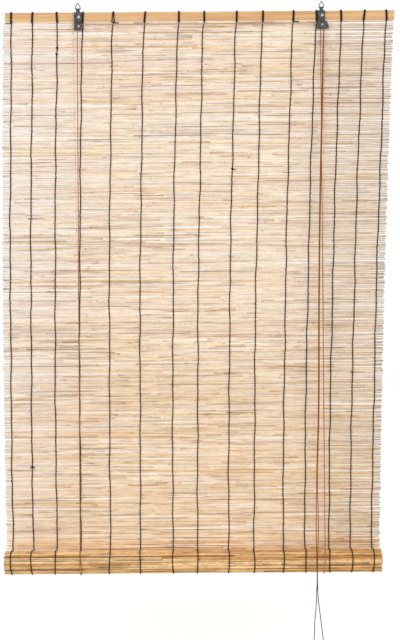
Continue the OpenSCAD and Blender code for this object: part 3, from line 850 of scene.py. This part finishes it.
# Cords
def cord(tubes, path, across, tint):
    """A two-ply twisted cord along a path, with painted shade in the groove between its plies."""
    run = np.concatenate([[0], np.cumsum(np.linalg.norm(np.diff(path, axis=0), axis=1))])
    turn = np.arange(CORD_SIDES) * 2 * np.pi / CORD_SIDES
    lobe = np.cos(2 * (turn[None] - 2 * np.pi * run[:, None] / CORD_PITCH))
    shade = PLY_PAINTED_SHADE[0] + PLY_PAINTED_SHADE[1] * lobe
    radius = CORD_LOFT * CORD_D / 2 * (PLY_RADIUS[0] + PLY_RADIUS[1] * lobe)
    tint = np.asarray(tint, float)
    if tint.ndim == 2:
        tint = tint[:, None]
    tubes.add(path, radius, across, tint * shade[..., None], CORD_SIDES)


def arc(centre, radius, first, last, plane):
    """Points of an arc about centre; plane gives the directions of angle 0 and angle 90."""
    turn = np.radians(np.linspace(first, last, max(3, round(abs(last - first) / ARC_STEP))))[:, None]
    level, upright = np.asarray(plane)
    return np.asarray(centre) + radius * (np.cos(turn) * level + np.sin(turn) * upright)


def joined(*parts):
    """One row of points through points and arcs in turn, with straight runs between them sampled too."""
    path = np.atleast_2d(np.array(parts[0], float))
    for part in parts[1:]:
        part = np.atleast_2d(np.array(part, float))
        run = np.linalg.norm(part[0] - path[-1])
        between = np.linspace(path[-1], part[0], max(2, round(run / STRAIGHT_STEP) + 1))[1:]
        path = np.concatenate([path, between, part[1:]])
    return path


def node_middle(node):
    """Middle of a CAD node's box."""
    low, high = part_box(node)
    return (low + high) / 2


def lift_cord(side, groove):
    """One lift cord: tied behind the slat, down the back, under the roll and up the front to its pulley."""
    loop_low, loop_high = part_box(f"{side}_loop")
    sling_x = (loop_low.x + loop_high.x) / 2
    sling_r = (loop_high.y - loop_low.y - CORD_D) / 2
    back_y = roll_axis.y + sling_r
    sling_top = (sling_x, roll_axis.y - sling_r, loop_high.z)
    lead_x = node_middle(f"{side}_axle").x - wrap_r
    tie_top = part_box(f"{side}_tie")[1].z

    back = Tubes()
    cord(back, smooth_curve([(sling_x, back_y, slat_low.z), (sling_x, back_y, roll_axis.z)], CORD_STEP),
         (1, 0, 0), LIFT_COLOUR)
    made = piece(f"{side}_lift_cord_back", back, cord_finish, "header", [f"{side}_back_strand"])
    gathers(made, slat_low.z, roll_axis.z)

    front = Tubes()
    cord(front, smooth_curve([(lead_x, groove, lead_foot), sling_top], CORD_STEP), (1, 0, 0), LIFT_COLOUR)
    made = piece(f"{side}_lift_cord_front", front, cord_finish, "header", [f"{side}_front_strand"])
    gathers(made, lead_foot, loop_high.z)

    under = Tubes()
    half = arc((sling_x, roll_axis.y, roll_axis.z), sling_r, 0, 180, ((0, 1, 0), (0, 0, -1)))
    half[:, 2] += SLING_HUG * (roll_axis.z - half[:, 2]) / sling_r
    path = smooth_curve(joined(half, sling_top), CORD_STEP)
    tint = np.where(path[:, 2:] > roll_axis.z, LIFT_COLOUR, SLING_COLOUR)
    cord(under, path, (1, 0, 0), tint)
    piece(f"{side}_lift_cord_sling", under, cord_finish, "sling", [f"{side}_loop"])

    tie = Tubes()
    cord(tie, smooth_curve([(sling_x, back_y, slat_low.z), (sling_x, back_y, tie_top - MM)], CORD_STEP),
         (1, 0, 0), LIFT_COLOUR)
    overhand(tie, (sling_x, back_y, tie_top - TIE_KNOT_DROP), *TIE_KNOT, LIFT_COLOUR)
    piece(f"{side}_lift_cord_tie", tie, cord_finish, "header", [f"{side}_tie"])


def lock_cords():
    """The left cord's run along the slat and over the lock's pulley, and the right cord's turn beside it."""
    left = node_middle("left_axle")
    right = node_middle("right_axle")
    plane = ((1, 0, 0), (0, 0, 1))
    first = arc((left.x, front_groove, left.z), wrap_r, 180, 90, plane)
    last = arc((right.x, front_groove, right.z), wrap_r, 90, 0, plane)
    over = arc((right.x, back_groove, right.z), wrap_r, 180, 0, plane)
    for name, node, bends, tint in (("cross_run_cord", "cross_cord", (first, last), CROSS_COLOUR),
                                    ("lock_turn_cord", "lock_turn", (over,), LIFT_COLOUR)):
        start = (*bends[0][0][:2], lead_foot)
        end = (*bends[-1][-1][:2], lead_foot - LEAD_LAP)
        path = smooth_curve(joined(start, *bends, end), CORD_STEP)
        past_middle = np.arange(len(path))[:, None] > len(path) / 2
        foot = np.where(past_middle, PULL_COLOURS_AND_SHADES[-1][1], LIFT_COLOUR)
        fade = np.clip((path[:, 2:] - lead_foot) / LEAD_FADE, 0, 1)
        made = Tubes()
        cord(made, path, (0, 1, 0), foot + fade * (np.array(tint) - foot))
        piece(name, made, cord_finish, "header", [node])


def pull_tint(path):
    """Tints along a pull cord: warm against the mat, and darker below it with painted shade."""
    heights, colours = zip(*PULL_COLOURS_AND_SHADES)
    return np.stack([np.interp(path[:, 2], heights, channel) for channel in zip(*colours)], -1)


def pull_cord(side, run_points, tail_points):
    """One pull cord: its run from the lock down the front, and its tail past the roll with a stopper knot."""
    axle_x = node_middle("right_axle").x
    route = [np.array(points) * MM + np.array((axle_x, 0, 0)) for points in (run_points, tail_points)]
    run_path = smooth_curve(route[0], CORD_STEP)
    tail_path = smooth_curve(route[1], CORD_STEP)

    run = Tubes()
    cord(run, run_path, (1, 0, 0), pull_tint(run_path))
    made = piece(f"pull_cord_run_{side}", run, cord_finish, "header", [f"pull_run_{side}"])
    gathers(made, run_path[0][2], run_path[-1][2])
    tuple(run_path[0])

    knot = Tubes()
    middle = tail_path[-1] - np.array((0, 0, STOP_KNOT_DROP))
    # The knot and its frayed end take the tail's painted shade
    overhand(knot, middle, *STOP_KNOT, SHADED_TAIL_COLOUR)
    fray = smooth_curve([middle, middle - FRAY_REACH], MM)
    knot.add(fray, np.linspace(*FRAY_MM, len(fray)) * MM, (1, 0, 0), SHADED_TAIL_COLOUR)
    stop = piece(f"pull_cord_knot_{side}", knot, cord_finish, "sling", [f"pull_knot_{side}"])

    tail = Tubes()
    cord(tail, tail_path, (1, 0, 0), pull_tint(tail_path))
    made = piece(f"pull_cord_tail_{side}", tail, cord_finish, "sling", [f"pull_tail_{side}"])
    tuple(tail_path[0])


def hanging_ring(side):
    """A ring of bent wire: straight through the bracket's curl, with round corners and a round top."""
    low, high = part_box(f"{side}_ring")
    middle = (low + high) / 2
    half = (high.x - low.x) / 2 - RING_R + RING_FLARE
    foot = low.z + RING_R
    top = foot + (high.z - RING_R - foot) / (1 - RING_ROUND / 2)
    corners = np.array([(middle.x - half, foot), (middle.x, top), (middle.x + half, foot)])
    t = np.linspace(0, 1, RING_BEND_POINTS)[:, None]
    bends = []
    for k in range(3):
        here, before, after = corners[k], corners[k - 1], corners[(k + 1) % 3]
        start, end = here + RING_ROUND * (before - here), here + RING_ROUND * (after - here)
        bends.append((1 - t) ** 2 * start + 2 * t * (1 - t) * here + t**2 * end)
    bends = np.concatenate(bends)
    wire = Tubes()
    path = np.stack([bends[:, 0], np.full(len(bends), middle.y), bends[:, 1]], -1)
    wire.add(path, RING_R, (0, 1, 0), (1, 1, 1), RING_SIDES, closed=True)
    piece(f"{side}_ring_wire", wire, ring_finish, f"{side}_hanger", [f"{side}_ring"])


# CAD nodes that keep their shape
def dress(look, *nodes):
    """Gives each node the look in place of its own."""
    for name in nodes:
        node = frame["nodes"][name]
        node.data.materials.clear()
        node.data.materials.append(look)


# Stage
def looked_at(tree):
    """1 where the camera looks, also by way of gloss or glass, and 0 for light that falls on the object."""
    rays = add(tree, "ShaderNodeLightPath").outputs
    gloss = add(tree, "ShaderNodeMath", {0: rays["Is Camera Ray"], 1: rays["Is Glossy Ray"]},
                operation="MAXIMUM")
    made = add(tree, "ShaderNodeMath", {0: gloss.outputs["Value"], 1: rays["Is Transmission Ray"]},
               operation="MAXIMUM")
    return made.outputs["Value"]


def make_floor():
    """A wide pale floor just below the cords' knots."""
    corners = [(x * FLOOR_REACH, y * FLOOR_REACH, 0) for x, y in ((-1, -1), (1, -1), (1, 1), (-1, 1))]
    mesh = bpy.data.meshes.new("floor")
    mesh.from_pydata(corners, [], [(0, 1, 2, 3)])
    look, tree, shader = blank("floor")
    shader.inputs["Base Color"].default_value = (*FLOOR_COLOUR, 1)
    shader.inputs["Roughness"].default_value = 0.9
    shader.inputs["Specular IOR Level"].default_value = 0
    place = add(tree, "ShaderNodeTexCoord").outputs["Object"]
    away = add(tree, "ShaderNodeVectorMath", {0: place}, operation="LENGTH").outputs["Value"]
    (near, near_glow), (far, far_glow) = FLOOR_GLOW
    level = spread(tree, away, near_glow, far_glow, near, far)
    glow = add(tree, "ShaderNodeMath", {0: looked_at(tree), 1: level}, operation="MULTIPLY")
    shader.inputs["Emission Color"].default_value = (1, 1, 1, 1)
    tree.links.new(glow.outputs["Value"], shader.inputs["Emission Strength"])
    mesh.materials.append(look)
    floor = bpy.data.objects.new("floor", mesh)
    floor.location.z = cad_box[0].z - FLOOR_DROP
    scene.collection.objects.link(floor)


def make_sky():
    """Even pale light all round, and plain white where the camera looks past the object."""
    world = bpy.data.worlds.new("studio")
    world.use_nodes = True
    tree = world.node_tree
    sky = tree.nodes["Background"]
    level = add(tree, "ShaderNodeMapRange", {"Value": looked_at(tree), "To Min": SKY_LIGHT, "To Max": 1.0})
    sky.inputs["Color"].default_value = (1, 1, 1, 1)
    tree.links.new(level.outputs["Result"], sky.inputs["Strength"])
    scene.world = world


def make_lamps():
    """Two soft boxes in front of the object and one behind it."""
    for index, (place, width, watts) in enumerate(LAMPS):
        data = bpy.data.lights.new(f"softbox_{index + 1}", "AREA")
        data.size = width
        data.energy = watts
        lamp = bpy.data.objects.new(data.name, data)
        lamp.location = place
        lamp.rotation_euler = (LAMP_AIM - Vector(place)).to_track_quat("-Z", "Y").to_euler()
        scene.collection.objects.link(lamp)


scene.view_settings.view_transform = "Standard"
make_camera()
make_floor()
make_sky()
make_lamps()

reed_finish = reed_look("reed", mottle=0.08)
rolled_finish = reed_look("rolled_reed", mottle=0.2)
thread_finish = thread_look()
cord_finish = cord_look("twisted_cord")
steel = metal_look("zinc_steel", dark=(0.36, 0.36, 0.38), bright=(0.66, 0.66, 0.68), rough=0.24)
brass = metal_look("turned_brass", dark=(0.5, 0.34, 0.14), bright=(0.74, 0.55, 0.28), rough=0.3)
ring_finish = metal_look("ring_wire", dark=(0.09, 0.09, 0.095), bright=(0.2, 0.2, 0.205), rough=0.35)
dress(wood_look("pine"), "header_slat", "bottom_rod")
dress(paint_look(), "left_bracket", "right_bracket")
dress(steel, "left_screw", "right_screw", "left_axle", "right_axle", "lock_roller", "left_staple",
      "right_staple")
dress(brass, "left_pulley", "right_pulley")

front_groove = node_middle("cross_cord").y
back_groove = node_middle("lock_turn").y
turn_low, turn_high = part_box("lock_turn")
wrap_r = (turn_high.x - turn_low.x - CORD_D) / 2
lead_foot = turn_low.z
pull_cord("right", RUN_RIGHT, TAIL_RIGHT)
pull_cord("left", RUN_LEFT, TAIL_LEFT)
lift_cord("left", front_groove)
lift_cord("right", back_groove)
lock_cords()
hanging_ring("left")
hanging_ring("right")

warp_x = np.array([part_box(f"warp_{index:02d}")[1].x - WARP_W / 2 for index in range(1, WARPS + 1)])
sways = row_sways(np.random.default_rng(SWAY_SEED), WARPS)
fold_row = math.floor((mat_top - mat_fold) / pick_h * 2)
middle_row = (fold_row + 2 * PICKS) // 2
hanging_reeds("hanging_reeds_upper", range(0, fold_row), sways, warp_x, seed=11, gathered=False)
hanging_reeds("hanging_reeds_middle", range(fold_row, middle_row), sways, warp_x, seed=12)
hanging_reeds("hanging_reeds_lower", range(middle_row, 2 * PICKS), sways, warp_x, seed=13, marks=LOW_MARKS)
rolled_reeds(seed=14)
for index in range(WARPS):
    warp_thread(index, warp_x)
header_stitches(warp_x)
roll_threads(warp_x)
